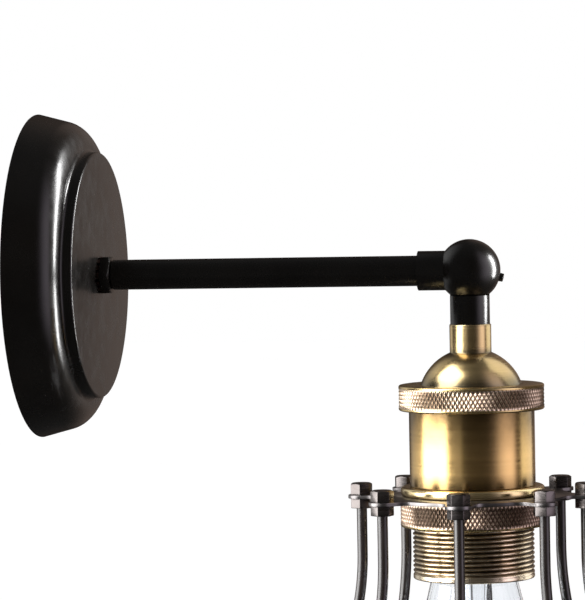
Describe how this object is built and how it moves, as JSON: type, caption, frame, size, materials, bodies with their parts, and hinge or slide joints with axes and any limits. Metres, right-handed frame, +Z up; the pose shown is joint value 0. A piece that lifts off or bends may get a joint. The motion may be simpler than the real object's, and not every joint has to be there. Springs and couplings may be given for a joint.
{
  "type": "cage wall light",
  "caption": "Wall light with a round canopy, a straight arm, a tilting ball knuckle, a brass screw-shell lamp holder and an open cage of bent bars round a clear bulb.",
  "frame": {"origin": "on the wall, at the middle of the two wall screws and on the arm's axis", "axes": "+X out from the wall along the arm, +Z up, the lamp holder hangs along -Z from the ball knuckle at x = 0.144 m"},
  "size_m": [0.2098, 0.1316, 0.299],
  "materials": {
    "black_paint": "satin",
    "zinc_steel": "zinc plated",
    "plain_brass": "turned",
    "tinned_copper": "tinned",
    "terminal_plastic": "matte",
    "brown_insulation": "matte",
    "blue_insulation": "matte",
    "green_yellow_insulation": "matte",
    "antique_brass": "antique, lacquered",
    "knurled_brass": "knurled, antique",
    "porcelain": "glazed",
    "copper_shell": "plain copper",
    "grey_plate": "satin grey",
    "dark_nut": "satin dark grey",
    "dark_bronze_bar": "satin dark bronze",
    "clear_glass": "clear",
    "bulb_cap_metal": "nickel plated",
    "black_glass": "gloss",
    "support_wire": "plain",
    "filament_wire": "plain"
  },
  "bodies": {
    "wall_side": {"canopy": "black_paint", "wall_bracket": "zinc_steel", "wall_nipple": "plain_brass", "bracket_lock_nut": "zinc_steel", "bracket_jam_nut": "zinc_steel", "star_washer": "zinc_steel", "canopy_nut": "black_paint", "earth_screw": "plain_brass", "earth_tag": "tinned_copper", "terminal_block": "terminal_plastic", "terminal_sleeves": "plain_brass", "terminal_screws": "zinc_steel", "block_screw": "zinc_steel", "live_lead": "brown_insulation", "neutral_lead": "blue_insulation", "earth_lead": "green_yellow_insulation", "arm_tube": "black_paint", "knuckle_arm_half": "black_paint", "pivot_screw": "black_paint"},
    "head": {"knuckle_stem_half": "black_paint", "tilt_lock_screw": "black_paint", "holder_nipple": "plain_brass", "dome_nut": "zinc_steel", "holder_cap": "antique_brass", "cap_ring": "knurled_brass", "barrel": "antique_brass", "seat_ring": "antique_brass", "porcelain_core": "porcelain", "screw_shell": "copper_shell", "centre_contact": "plain_brass", "earth_strip": "plain_brass", "core_screws": "plain_brass", "holder_live_lead": "brown_insulation", "holder_neutral_lead": "blue_insulation", "holder_earth_lead": "green_yellow_insulation", "cage_plate": "grey_plate", "cage_cap_nuts": "dark_nut", "cage_lock_nuts": "dark_nut", "bottom_ring": "grey_plate", "bottom_cap_nuts": "dark_nut", "bottom_lock_nuts": "dark_nut", "cage_bar_1": "dark_bronze_bar", "cage_bar_2": "dark_bronze_bar", "cage_bar_3": "dark_bronze_bar", "cage_bar_4": "dark_bronze_bar", "cage_bar_5": "dark_bronze_bar", "cage_bar_6": "dark_bronze_bar", "cage_bar_7": "dark_bronze_bar", "cage_bar_8": "dark_bronze_bar"},
    "shade_ring": {"shade_ring": "knurled_brass"},
    "bulb_base": {"bulb_insulator": "black_glass", "bulb_tip_contact": "bulb_cap_metal"},
    "bulb": {"bulb_glass": "clear_glass", "bulb_cap": "bulb_cap_metal", "bulb_stem": "clear_glass", "bulb_wires": "support_wire", "bulb_filament": "filament_wire"}
  },
  "joints": [
    {"name": "head_tilt", "type": "hinge", "parent": "wall_side", "child": "head", "pos_m": [0.144, 0, 0], "axis": [0, -1, 0], "range_deg": [-10, 140]},
    {"name": "shade_ring_turn", "type": "hinge", "parent": "head", "child": "shade_ring", "pos_m": [0.144, 0, -0.0793], "axis": [0, 0, -1], "range_deg": [0, 360]},
    {"name": "bulb_lift", "type": "slide", "parent": "head", "child": "bulb_base", "axis": [0, 0, -1], "range_m": [0, 0.0216]},
    {"name": "bulb_turn", "type": "hinge", "parent": "bulb_base", "child": "bulb", "pos_m": [0.144, 0, -0.09], "axis": [0, 0, -1], "range_deg": [0, 2160]}
  ],
  "couplings": [
    {"joint": "bulb_lift", "follows": "bulb_turn", "m_per_rad": 0.00057296}
  ]
}
